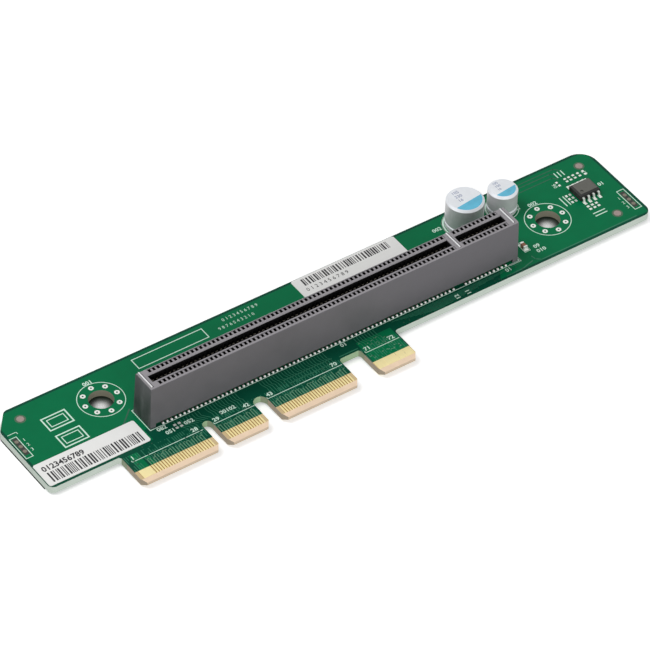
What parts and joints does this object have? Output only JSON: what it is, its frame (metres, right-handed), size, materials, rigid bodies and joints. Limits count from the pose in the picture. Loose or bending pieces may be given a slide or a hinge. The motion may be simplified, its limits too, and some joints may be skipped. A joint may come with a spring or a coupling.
{
  "type": "pcie riser card",
  "caption": "Long narrow circuit board with a notched gold-fingered edge that raises a tall sixteen-lane card slot above it, with two radial capacitors and mounting holes.",
  "frame": {"origin": "axis of the left mounting hole at the underside of the circuit board", "axes": "+X along the board from the left mounting hole towards the capacitors, +Z out of the card slot, so that the gold fingers point to -Y"},
  "size_m": [0.1459, 0.0313, 0.0127],
  "materials": {
    "laminate": "green solder mask, satin gloss",
    "housing_plastic": "moulded grey, matt",
    "gold_plate": "thin gold plate, bright",
    "tinned_copper": "tinned, bright",
    "can_aluminium": "drawn, satin",
    "bung_rubber": "matt black",
    "chip_plastic": "moulded black, matt",
    "ceramic": "sintered, tan brown",
    "label_paper": "coated white, matt"
  },
  "bodies": {
    "root": {"circuit_board": "laminate", "slot_housing": "housing_plastic", "slot_contacts_front": "gold_plate", "slot_contacts_rear": "gold_plate", "tongue_1_wide_pad_top": "gold_plate", "tongue_1_fingers_top": "gold_plate", "tongue_1_fingers_under": "gold_plate", "tongue_2_fingers_top": "gold_plate", "tongue_2_fingers_under": "gold_plate", "tongue_3_fingers_top": "gold_plate", "tongue_3_fingers_under": "gold_plate", "tongue_4_power_pad_top": "gold_plate", "tongue_4_power_pad_under": "gold_plate", "left_ground_lands": "tinned_copper", "right_ground_lands": "tinned_copper", "alignment_targets": "gold_plate", "left_jumper_pads": "tinned_copper", "right_jumper_pads": "tinned_copper", "resistor_pads": "tinned_copper", "large_capacitor_can": "can_aluminium", "large_capacitor_bung": "bung_rubber", "large_capacitor_leads": "tinned_copper", "small_capacitor_can": "can_aluminium", "small_capacitor_bung": "bung_rubber", "small_capacitor_leads": "tinned_copper", "memory_chip_body": "chip_plastic", "memory_chip_leads": "tinned_copper", "ceramic_capacitor_body": "ceramic", "ceramic_capacitor_ends": "tinned_copper", "serial_label": "label_paper", "barcode_label": "label_paper"}
  },
  "joints": []
}
